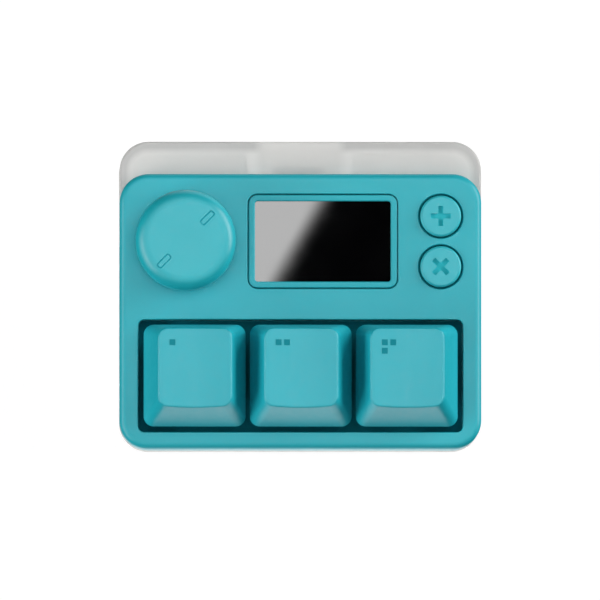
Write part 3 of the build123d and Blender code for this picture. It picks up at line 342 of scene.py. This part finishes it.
def thicken(mesh, height):
    """Raise flat faces into plates of the given height."""
    raised = bmesh.ops.extrude_face_region(mesh, geom=mesh.faces[:])["geom"]
    tops = [vertex for vertex in raised if isinstance(vertex, bmesh.types.BMVert)]
    bmesh.ops.translate(mesh, verts=tops, vec=(0, 0, height))
    bmesh.ops.recalc_face_normals(mesh, faces=mesh.faces)


dress("usb_shell", bright_steel)
dress("usb_tongue", chip_black)
contact_gold = turned_metal(
    "contact_gold", paint(214, 176, 96), paint(232, 198, 122), smooth=0.22, rough=0.34
)
tongue_low, tongue_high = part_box("usb_tongue")
for side, level, rise in (
    ("upper", tongue_high.z - CONTACT_SUNK, CONTACT_HEIGHT),
    ("lower", tongue_low.z + CONTACT_SUNK, -CONTACT_HEIGHT),
):
    contacts = bmesh.new()
    for number in range(CONTACTS):
        strip = bmesh.ops.create_grid(
            contacts, x_segments=1, y_segments=CONTACT_STEPS, size=0.5
        )["verts"]
        bmesh.ops.scale(contacts, verts=strip, vec=(CONTACT_WIDTH, CONTACT_LENGTH, 1))
        across = (number - (CONTACTS - 1) / 2) * CONTACT_PITCH
        along = tongue_high.y - CONTACT_BACK - CONTACT_LENGTH / 2
        bmesh.ops.translate(contacts, verts=strip, vec=(across, along, level))
    thicken(contacts, rise)
    piece(f"usb_contacts_{side}", contacts, contact_gold, "case")

# Key switches: three sprung switches with black nylon bases and covers, white stems that carry a
# plated magnet, and coil springs of steel wire. They stand on the board, in the deck's holes.
switch_black = satin_plastic(
    "switch_black", paint(36, 40, 42), paint(46, 50, 52), smooth=0.45, rough=0.6
)
stem_white = satin_plastic(
    "stem_white", paint(222, 222, 216), paint(232, 232, 228), smooth=0.35, rough=0.5
)
magnet_nickel = turned_metal(
    "magnet_nickel", paint(188, 186, 180), paint(206, 204, 198), smooth=0.2, rough=0.3
)
spring_steel = turned_metal(
    "spring_steel", paint(150, 152, 156), paint(184, 186, 190), smooth=0.3, rough=0.42
)
KEYS = {name: name.split("_")[1] for name in frame["bodies"] if name.startswith("key_")}
for number in KEYS.values():
    dress(f"switch_base_{number}", switch_black)
    dress(f"switch_cover_{number}", switch_black)
    dress(f"switch_stem_{number}", stem_white)
    dress(f"switch_magnet_{number}", magnet_nickel)
    dress(f"switch_spring_{number}", spring_steel)

# Deck pad: a thin, dark teal sheet laid on the deck round the switches as painted shade, so that
# the gaps round and between the keys read dark. It is punched from sheet to the shape of the well,
# with a square window for each switch.
FLANGE_THICKNESS = 1.0 * MM
PAD_THICKNESS = 0.5 * MM
PAD_EDGE_GAP = 0.1 * MM
PAD_WINDOW_GAP = 0.15 * MM
PAD_CORNER_STEPS = 5
WELL_CORNER = 1.1 * MM
WELL_GAP = 0.95 * MM
pad_reach = WELL_GAP - PAD_EDGE_GAP
row_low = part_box("keycap_1")[0]
row_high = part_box("keycap_3")[1]
pad_low = Vector((row_low.x - pad_reach, row_low.y - pad_reach, 0))
pad_high = Vector((row_high.x + pad_reach, row_high.y + pad_reach, 0))
deck_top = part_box("switch_cover_1")[0].z - FLANGE_THICKNESS
pad = bmesh.new()
bmesh.ops.create_grid(pad, x_segments=1, y_segments=1, size=0.5)
bmesh.ops.scale(pad, verts=pad.verts, vec=(pad_high.x - pad_low.x, pad_high.y - pad_low.y, 1))
bmesh.ops.translate(pad, verts=pad.verts, vec=(pad_low + pad_high) / 2)
bmesh.ops.bevel(
    pad, geom=pad.verts[:], affect="VERTICES", offset=WELL_CORNER - PAD_EDGE_GAP,
    segments=PAD_CORNER_STEPS, profile=0.5, material=-1,
)
windows = []
for number in KEYS.values():
    low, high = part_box(f"switch_base_{number}")
    grow = Vector((PAD_WINDOW_GAP, PAD_WINDOW_GAP, 0))
    windows.append((low - grow, high + grow))
cuts = [((x, 0, 0), (1, 0, 0)) for low, high in windows for x in (low.x, high.x)]
cuts += [((0, y, 0), (0, 1, 0)) for y in (windows[0][0].y, windows[0][1].y)]
for point, across in cuts:
    bmesh.ops.bisect_plane(
        pad, geom=pad.verts[:] + pad.edges[:] + pad.faces[:], plane_co=point, plane_no=across
    )
punched = []
for face in pad.faces:
    middle = face.calc_center_median()
    if any(low.x < middle.x < high.x and low.y < middle.y < high.y for low, high in windows):
        punched.append(face)
bmesh.ops.delete(pad, geom=punched, context="FACES")
bmesh.ops.translate(pad, verts=pad.verts, vec=(0, 0, deck_top))
thicken(pad, PAD_THICKNESS)
# Painted shade: the sheet's dark teal stands in for the shade down in the well's gaps.
painted_shade_pad = satin_plastic(
    "painted_shade_pad", paint(4, 120, 137), paint(6, 130, 147),
    smooth=0.85, rough=0.98, grain=0.25 * MM, depth=0.03 * MM, gloss=0.1,
)
piece("deck_shade_sheet", pad, painted_shade_pad, "case")

# Keycaps: thick teal caps with a finger dish, pushed onto the stems' crosses. The small squares
# that tell the keys apart are printed on in a darker teal.
KEYCAP_HEIGHT = 8.2 * MM
DISH_DEPTH = 0.95 * MM
DISH_RADIUS = 28.0 * MM
SQUARE_SIZE = 1.05 * MM
SQUARE_STEPS = 6
SQUARE_PITCH = 1.51 * MM
SQUARE_LEFT = 4.05 * MM
SQUARE_BEHIND = 5.72 * MM
INK_SUNK = 0.02 * MM
INK_HEIGHT = 0.06 * MM
SQUARES = (((0, 0),), ((0, 0), (1, 0)), ((0, 0), (1, 0), (0, 1)))
cap_teal = satin_plastic(
    "cap_teal", paint(23, 164, 178), paint(27, 170, 184), smooth=0.33, rough=0.41
)
print_teal = satin_plastic(
    "print_teal", paint(26, 141, 154), paint(31, 148, 161),
    smooth=0.8, rough=0.92, grain=0.1 * MM, gloss=0.12,
)
for (key, number), squares in zip(KEYS.items(), SQUARES):
    dress(f"keycap_{number}", cap_teal)
    low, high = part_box(f"keycap_{number}")
    middle = (low + high) / 2
    printed = bmesh.new()
    for column, row in squares:
        square = bmesh.ops.create_grid(
            printed, x_segments=SQUARE_STEPS, y_segments=1, size=SQUARE_SIZE / 2
        )["verts"]
        across = column * SQUARE_PITCH - SQUARE_LEFT
        along = SQUARE_BEHIND - row * SQUARE_PITCH
        bmesh.ops.translate(printed, verts=square, vec=(across, along, 0))
        for vertex in square:
            rise = DISH_RADIUS - math.sqrt(DISH_RADIUS**2 - vertex.co.x**2)
            vertex.co.z = low.z + KEYCAP_HEIGHT - DISH_DEPTH + rise - INK_SUNK
    bmesh.ops.translate(printed, verts=printed.verts, vec=(middle.x, middle.y, 0))
    thicken(printed, INK_HEIGHT)
    piece(f"printed_squares_{number}", printed, print_teal, key)

# Encoder: the part below the knob that feels its turn and its press, with a black housing, a metal
# bracket and shaft, and a white plunger. The housing is soldered to the board.
shaft_metal = turned_metal(
    "shaft_metal", paint(170, 170, 168), paint(196, 196, 194), smooth=0.28, rough=0.4
)
dress("encoder_housing", chip_black)
dress("encoder_bracket", shaft_metal)
dress("encoder_shaft", shaft_metal)
dress("encoder_plunger", stem_white)

# Knob: a round teal cap that turns and presses, moulded with two marks on its top that are outlined
# by fine grooves. It is pushed onto the flat of the encoder's shaft.
MARKS_WITHIN = 7.2 * MM
MARKS_EDGE = 0.05 * MM
GROOVE_DEPTH = 0.15 * MM
GROOVE_FADE = 0.03 * MM
GROOVE_PAINTED_LIGHT = paint(58, 214, 226)
SUNK_ROUGHNESS = 0.95
knob_teal = satin_plastic(
    "knob_teal", paint(26, 169, 181), paint(30, 175, 187), smooth=0.33, rough=0.41
)
knob_tree = knob_teal.node_tree
knob_shader = knob_tree.nodes["Principled BSDF"]
knob_low, knob_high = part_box("knob")
knob_middle = (knob_low + knob_high) / 2
knob_centred = knob_tree.nodes.new("ShaderNodeMapping")
knob_centred.inputs["Location"].default_value = (
    -knob_middle.x, -knob_middle.y, GROOVE_DEPTH - knob_high.z
)
knob_tree.links.new(object_point(knob_tree), knob_centred.inputs["Vector"])
knob_point = knob_centred.outputs["Vector"]
knob_flat = reckon(knob_tree, "MULTIPLY", knob_point, (1, 1, 0), kind="ShaderNodeVectorMath")
knob_reach = reckon(knob_tree, "LENGTH", knob_flat, kind="ShaderNodeVectorMath")
grooves = reckon(
    knob_tree, "MULTIPLY",
    between(knob_tree, apart(knob_tree, knob_point)["Z"], GROOVE_FADE, 0),
    between(knob_tree, knob_reach, MARKS_WITHIN + MARKS_EDGE, MARKS_WITHIN),
)
# Painted light: the groove floors take a lighter teal that lifts the shade inside the grooves, and
# a rougher finish.
change_where(knob_tree, knob_shader, "Base Color", grooves, GROOVE_PAINTED_LIGHT)
change_where(knob_tree, knob_shader, "Roughness", grooves, SUNK_ROUGHNESS)
dress("knob", knob_teal)

# Display: a moulded teal bezel, put in from below and rounded along its inner edge, black glass
# against the bezel's lip, and the panel, the backlight and the flex that plugs into the board.
HAIR = 0.001 * MM
FLAT_WITHIN = math.radians(0.5)
UPRIGHT_BELOW = 0.1
LEVEL_ABOVE = 0.99
LIP_ROUNDING = 0.22 * MM
LIP_STEPS = 4
SHARP_FROM = math.radians(35)
GLASS_DRIFT = 8 * MM
GLASS_SPOTS = 5 * MM
GLASS_SMOOTH, GLASS_ROUGH = 0.015, 0.03
GLASS_WAVES = 6 * MM
GLASS_WAVE_DEPTH = 0.0002 * MM
GLASS_GLOSS = 0.2
bezel_teal = satin_plastic(
    "bezel_teal", paint(23, 165, 178), paint(27, 171, 184), smooth=0.34, rough=0.42, gloss=0.35
)
dress("display_bezel", bezel_teal)
bezel = bmesh.new()
bezel.from_mesh(frame["nodes"]["display_bezel"].data)
bmesh.ops.remove_doubles(bezel, verts=bezel.verts, dist=HAIR)
bmesh.ops.dissolve_limit(bezel, angle_limit=FLAT_WITHIN, verts=bezel.verts, edges=bezel.edges)
bezel_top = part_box("display_bezel")[1].z
lip = []
for edge in bezel.edges:
    at_top = all(abs(vertex.co.z - bezel_top) < HAIR for vertex in edge.verts)
    slopes = sorted(abs(face.normal.z) for face in edge.link_faces)
    if at_top and slopes[0] < UPRIGHT_BELOW and slopes[-1] > LEVEL_ABOVE:
        lip.append(edge)
bmesh.ops.bevel(
    bezel, geom=lip, affect="EDGES", offset=LIP_ROUNDING, offset_type="OFFSET",
    segments=LIP_STEPS, profile=0.5, material=-1,
)
for face in bezel.faces:
    face.smooth = True
rounded_bezel = piece("display_bezel_rounded", bezel, bezel_teal, "case")
rounded_bezel.data.set_sharp_from_angle(angle=SHARP_FROM)
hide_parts("display_bezel")

dark_glass, glass_tree, glass = plain_finish("dark_glass")
glass_tone = tone(glass_tree, mottle(glass_tree, GLASS_DRIFT), paint(3, 3, 4), paint(6, 6, 7))
glass_polish = spread(glass_tree, mottle(glass_tree, GLASS_SPOTS), GLASS_SMOOTH, GLASS_ROUGH)
glass_tree.links.new(glass_tone, glass.inputs["Base Color"])
glass_tree.links.new(glass_polish, glass.inputs["Roughness"])
emboss(glass_tree, glass, mottle(glass_tree, GLASS_WAVES), GLASS_WAVE_DEPTH)
glass.inputs["Specular IOR Level"].default_value = GLASS_GLOSS
flex_amber = satin_plastic(
    "flex_amber", paint(176, 112, 40), paint(192, 128, 52),
    smooth=0.3, rough=0.42, grain=0.5 * MM,
)
dress("display_glass", dark_glass)
dress("display_panel", chip_black)
dress("display_backlight", stem_white)
dress("display_flex", flex_amber)
dress("flex_socket", stem_white)

# Buttons: two round teal caps, moulded with a sunk plus and a sunk cross. Each is held by a flange
# below its hole in the front shell and presses a tact switch that is soldered to the board.
SIGN_SUNK = 0.2 * MM
SIGN_FADE = 0.05 * MM
SIGN_PAINTED_LIGHT = paint(46, 200, 211)
button_teal = satin_plastic(
    "button_teal", paint(26, 168, 180), paint(30, 174, 186), smooth=0.33, rough=0.41
)
button_tree = button_teal.node_tree
button_shader = button_tree.nodes["Principled BSDF"]
button_height = apart(button_tree, object_point(button_tree))["Z"]
sign_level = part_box("plus_button")[1].z - SIGN_SUNK
button_sunk = between(button_tree, button_height, sign_level + SIGN_FADE, sign_level)
# Painted light: the sunk signs take a lighter teal that lifts the shade in their recesses, and a
# rougher finish.
change_where(button_tree, button_shader, "Base Color", button_sunk, SIGN_PAINTED_LIGHT)
change_where(button_tree, button_shader, "Roughness", button_sunk, SUNK_ROUGHNESS)
for sign in ("plus", "cross"):
    dress(f"{sign}_button", button_teal)
    dress(f"{sign}_tact_body", chip_black)
    dress(f"{sign}_tact_plunger", stem_white)

# Stage: a white table in a white room. The table throws light back only in a strip as wide as the
# keypad, so that the keypad's left and right edges keep their depth.
WHITE = (1.0, 1.0, 1.0, 1.0)
TABLE_HALF = 1.5
TABLE_BELOW = 0.05 * MM
TABLE_BOUNCE = 0.85
TABLE_SHADE = 0.16
TABLE_GLOW = 0.905
TABLE_BRIGHT_HALF = 36 * MM
TABLE_FADE = 1 * MM
TABLE_ROUGHNESS = 0.9
ROOM_LIGHT = 0.16
ROOM_GLOW = 1.0


def seen_directly(tree, mirror_mask):
    """1 for rays that look at the stage itself, straight or by mirror or glass, 0 for its light."""
    path = tree.nodes.new("ShaderNodeLightPath").outputs
    mirrored_ray = path["Is Glossy Ray"]
    if mirror_mask is not None:
        mirrored_ray = reckon(tree, "MULTIPLY", mirrored_ray, mirror_mask)
    either = reckon(tree, "MAXIMUM", path["Is Camera Ray"], mirrored_ray)
    return reckon(tree, "MAXIMUM", either, path["Is Transmission Ray"])


def when_seen(tree, light_level, seen_level, mask=None):
    """One level for the light that the stage gives, and another for how it looks."""
    levels = tree.nodes.new("ShaderNodeMapRange")
    levels.inputs["To Min"].default_value = light_level
    levels.inputs["To Max"].default_value = seen_level
    tree.links.new(seen_directly(tree, mask), levels.inputs["Value"])
    if mask is not None and light_level:
        masked_level = reckon(tree, "MULTIPLY", light_level, mask)
        tree.links.new(masked_level, levels.inputs["To Min"])
    return levels.outputs["Result"]


table_white, table_tree, table_shader = plain_finish("table_white")
table_side = reckon(table_tree, "ABSOLUTE", apart(table_tree, object_point(table_tree))["X"])
table_bright = between(
    table_tree, table_side, TABLE_BRIGHT_HALF, TABLE_BRIGHT_HALF - TABLE_FADE
)
table_level = when_seen(table_tree, TABLE_BOUNCE, TABLE_SHADE, table_bright)
table_glow = when_seen(table_tree, 0.0, TABLE_GLOW, table_bright)
table_tone = table_tree.nodes.new("ShaderNodeCombineColor")
for channel in ("Red", "Green", "Blue"):
    table_tree.links.new(table_level, table_tone.inputs[channel])
table_tree.links.new(table_tone.outputs["Color"], table_shader.inputs["Base Color"])
table_tree.links.new(table_glow, table_shader.inputs["Emission Strength"])
table_shader.inputs["Emission Color"].default_value = WHITE
table_shader.inputs["Roughness"].default_value = TABLE_ROUGHNESS
table_shader.inputs["Specular IOR Level"].default_value = 0.0
table_mesh = bmesh.new()
bmesh.ops.create_grid(table_mesh, x_segments=1, y_segments=1, size=TABLE_HALF)
bmesh.ops.translate(table_mesh, verts=table_mesh.verts, vec=(0, 0, -TABLE_BELOW))
table = finished("table", table_mesh, table_white)

room = bpy.data.worlds.new("room")
bpy.context.scene.world = room
room.use_nodes = True
room_tree = room.node_tree
room_tree.nodes.clear()
room_output = room_tree.nodes.new("ShaderNodeOutputWorld")
room_walls = room_tree.nodes.new("ShaderNodeBackground")
room_tree.links.new(room_walls.outputs["Background"], room_output.inputs["Surface"])
room_tree.links.new(when_seen(room_tree, ROOM_LIGHT, ROOM_GLOW), room_walls.inputs["Strength"])
room_walls.inputs["Color"].default_value = WHITE

# Lamps and cards: large soft boxes to the left, to the right and overhead, black flags on all four
# sides that darken the edges, a bounce card at the front, and a ceiling that only gloss picks up.
FLAG_SPOTS = 30 * MM
FLAG_HALF = 0.5
FLAG_AWAY = 0.5
FLAG_TALL = 0.28
BOUNCE_NEAR = 31 * MM
BOUNCE_FAR = 160 * MM
BOUNCE_LEVEL = 0.7 * MM
BOUNCE_HALF = 34 * MM
BOUNCE_LIGHT = 1.2
CEILING_SPOTS = 90 * MM
CEILING_HEIGHT = 0.5
CEILING_HALF = 0.45
CEILING_LIGHT = 2.65


def soft_box(name, azimuth, elevation, away, wide, tall, power):
    """A soft lamp at an angle round the keypad, in degrees, aimed at it."""
    data = bpy.data.lights.new(name, "AREA")
    data.shape = "RECTANGLE"
    data.size = wide
    data.size_y = tall
    data.energy = power
    lamp = bpy.data.objects.new(name, data)
    bpy.context.scene.collection.objects.link(lamp)
    towards, height = math.radians(azimuth), math.radians(elevation)
    flat = away * math.cos(height)
    lamp.location = (
        flat * math.cos(towards), flat * math.sin(towards), away * math.sin(height)
    )
    lamp.rotation_euler = (-lamp.location).to_track_quat("-Z", "Y").to_euler()
    lamp.visible_camera = False


def off_picture(card):
    """Keep a card of the stage out of the picture, and its shadow off the keypad."""
    card.visible_camera = False
    card.visible_shadow = False
    card.visible_transmission = False


def stage_card(name, start, end, half_width, turn, finish):
    """A flat card between two edges, each given by its Y and Z, turned about the keypad."""
    mesh = bmesh.new()
    edge = mesh.edges.new(
        [mesh.verts.new((-half_width, *start)), mesh.verts.new((half_width, *start))]
    )
    drawn = bmesh.ops.extrude_edge_only(mesh, edges=[edge])["geom"]
    far = [vertex for vertex in drawn if isinstance(vertex, bmesh.types.BMVert)]
    bmesh.ops.translate(mesh, verts=far, vec=(0, end[0] - start[0], end[1] - start[1]))
    turning = Matrix.Rotation(math.radians(turn), 3, "Z")
    bmesh.ops.rotate(mesh, verts=mesh.verts, cent=(0, 0, 0), matrix=turning)
    card = finished(name, mesh, finish)
    off_picture(card)
    return card


def glowing_white(name, spot, dark, strength):
    """A white finish that gives light, with a slight drift of tone."""
    material, tree, shader = plain_finish(name)
    colour = tone(tree, mottle(tree, spot), dark, paint(255, 255, 255))
    tree.links.new(colour, shader.inputs["Emission Color"])
    shader.inputs["Emission Strength"].default_value = strength
    shader.inputs["Specular IOR Level"].default_value = 0.0
    return material


soft_box("left_box", azimuth=195, elevation=22, away=0.75, wide=0.7, tall=0.4, power=5.1)
soft_box("right_box", azimuth=18, elevation=16.5, away=0.75, wide=0.7, tall=0.36, power=6.75)
soft_box("top_box", azimuth=75, elevation=75, away=0.4, wide=0.32, tall=0.32, power=0.28)

flag_black, flag_tree, flag_shader = plain_finish("flag_black")
flag_tone = tone(flag_tree, mottle(flag_tree, FLAG_SPOTS), paint(4, 4, 4), paint(8, 8, 8))
flag_tree.links.new(flag_tone, flag_shader.inputs["Base Color"])
flag_shader.inputs["Roughness"].default_value = 1.0
flag_shader.inputs["Specular IOR Level"].default_value = 0.0
flag_top = (-FLAG_AWAY, FLAG_TALL)
for side, foot, turn in (
    ("front", 0.4, 0), ("rear", 0.3, 180), ("left", 0.3, -90), ("right", 0.3, 90)
):
    stage_card(f"{side}_flag", (-foot, 0), flag_top, FLAG_HALF, turn, flag_black)

bounce_white = glowing_white("bounce_white", FLAG_SPOTS, paint(250, 250, 250), BOUNCE_LIGHT)
bounce_start = (-BOUNCE_NEAR, BOUNCE_LEVEL)
bounce_end = (-BOUNCE_FAR, BOUNCE_LEVEL)
stage_card("bounce_card", bounce_start, bounce_end, BOUNCE_HALF, 0, bounce_white)

ceiling_white = glowing_white("ceiling_white", CEILING_SPOTS, paint(252, 252, 252), CEILING_LIGHT)
ceiling_white.cycles.emission_sampling = "NONE"
ceiling_start = (-CEILING_HALF, CEILING_HEIGHT)
ceiling_end = (CEILING_HALF, CEILING_HEIGHT)
ceiling = stage_card("ceiling_card", ceiling_start, ceiling_end, CEILING_HALF, 0, ceiling_white)
ceiling.visible_diffuse = False

# Camera: a long lens that looks almost straight down, leaning a little to the front and the left,
# with the face of the front shell at the photograph's scale.
PHOTO_PIXELS = 600
PIXELS_PER_MM = 5.564
FILM_WIDTH = 36.0
CAMERA_AWAY = 4.8
LEANS_LEFT = math.radians(0.8)
LEANS_FRONT = math.radians(2.2)
AIM_LEFT = 0.1 * MM
AIM_FRONT = 0.9 * MM
aim = Vector((-AIM_LEFT, -AIM_FRONT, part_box("front_shell")[1].z))
towards_camera = Vector((-math.sin(LEANS_LEFT), -math.sin(LEANS_FRONT), 1.0)).normalized()
to_the_right = Vector((0, 1, 0)).cross(towards_camera).normalized()
to_the_rear = towards_camera.cross(to_the_right)
camera_data = bpy.data.cameras.new("camera")
camera_data.sensor_width = FILM_WIDTH
camera_data.lens = FILM_WIDTH * CAMERA_AWAY / (PHOTO_PIXELS / PIXELS_PER_MM * MM)
camera = bpy.data.objects.new("camera", camera_data)
camera.location = aim + CAMERA_AWAY * towards_camera
camera_axes = Matrix((to_the_right, to_the_rear, towards_camera)).transposed()
camera.rotation_euler = camera_axes.to_euler()
bpy.context.scene.collection.objects.link(camera)
bpy.context.scene.camera = camera
bpy.context.scene.view_settings.view_transform = "Standard"

# Mirror card: a card hung where the camera sees it in the display's glass. It glows on the left and
# fades along a slanting edge, which gives the glass its bright corner and its black one.
CARD_HEIGHT = 0.33
CARD_MARGIN = 2.5 * MM
CARD_LIGHT = 28.5
CARD_TURN = math.radians(-29.9)
CARD_EDGE = -4.7 * MM
CARD_FADE_BEFORE = 1.6 * MM
CARD_FADE_AFTER = 4.6 * MM
CARD_FADE_POWER = 3.0
card_glow = bpy.data.materials.new("card_glow")
card_glow.use_nodes = True
card_tree = card_glow.node_tree
card_tree.nodes.clear()
card_output = card_tree.nodes.new("ShaderNodeOutputMaterial")
card_light = card_tree.nodes.new("ShaderNodeEmission")
card_tree.links.new(card_light.outputs["Emission"], card_output.inputs["Surface"])
card_turn = card_tree.nodes.new("ShaderNodeMapping")
card_turn.inputs["Rotation"].default_value[2] = -CARD_TURN
card_tree.links.new(object_point(card_tree), card_turn.inputs["Vector"])
card_fade = card_tree.nodes.new("ShaderNodeMapRange")
card_fade.interpolation_type = "SMOOTHSTEP"
card_fade.inputs["From Min"].default_value = CARD_EDGE - CARD_FADE_BEFORE
card_fade.inputs["From Max"].default_value = CARD_EDGE + CARD_FADE_AFTER
card_fade.inputs["To Min"].default_value = 1.0
card_fade.inputs["To Max"].default_value = 0.0
card_across = apart(card_tree, card_turn.outputs["Vector"])["X"]
card_tree.links.new(card_across, card_fade.inputs["Value"])
card_tail = reckon(card_tree, "POWER", card_fade.outputs["Result"], CARD_FADE_POWER)
card_level = reckon(card_tree, "MULTIPLY", card_tail, CARD_LIGHT)
card_tree.links.new(card_level, card_light.inputs["Strength"])
glass_low, glass_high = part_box("display_glass")
glass_middle = (glass_low + glass_high) / 2
card_mesh = bmesh.new()
bmesh.ops.create_grid(card_mesh, x_segments=1, y_segments=1, size=1.0)
card_size = (glass_high - glass_low) / 2 + Vector((CARD_MARGIN, CARD_MARGIN, 0))
bmesh.ops.scale(card_mesh, verts=card_mesh.verts, vec=card_size)
card = finished("mirror_card", card_mesh, card_glow)
mirrored = Vector((-towards_camera.x, -towards_camera.y, towards_camera.z)) / towards_camera.z
glass_top = Vector((glass_middle.x, glass_middle.y, glass_high.z))
card.location = glass_top + CARD_HEIGHT * mirrored
card.visible_diffuse = False
off_picture(card)
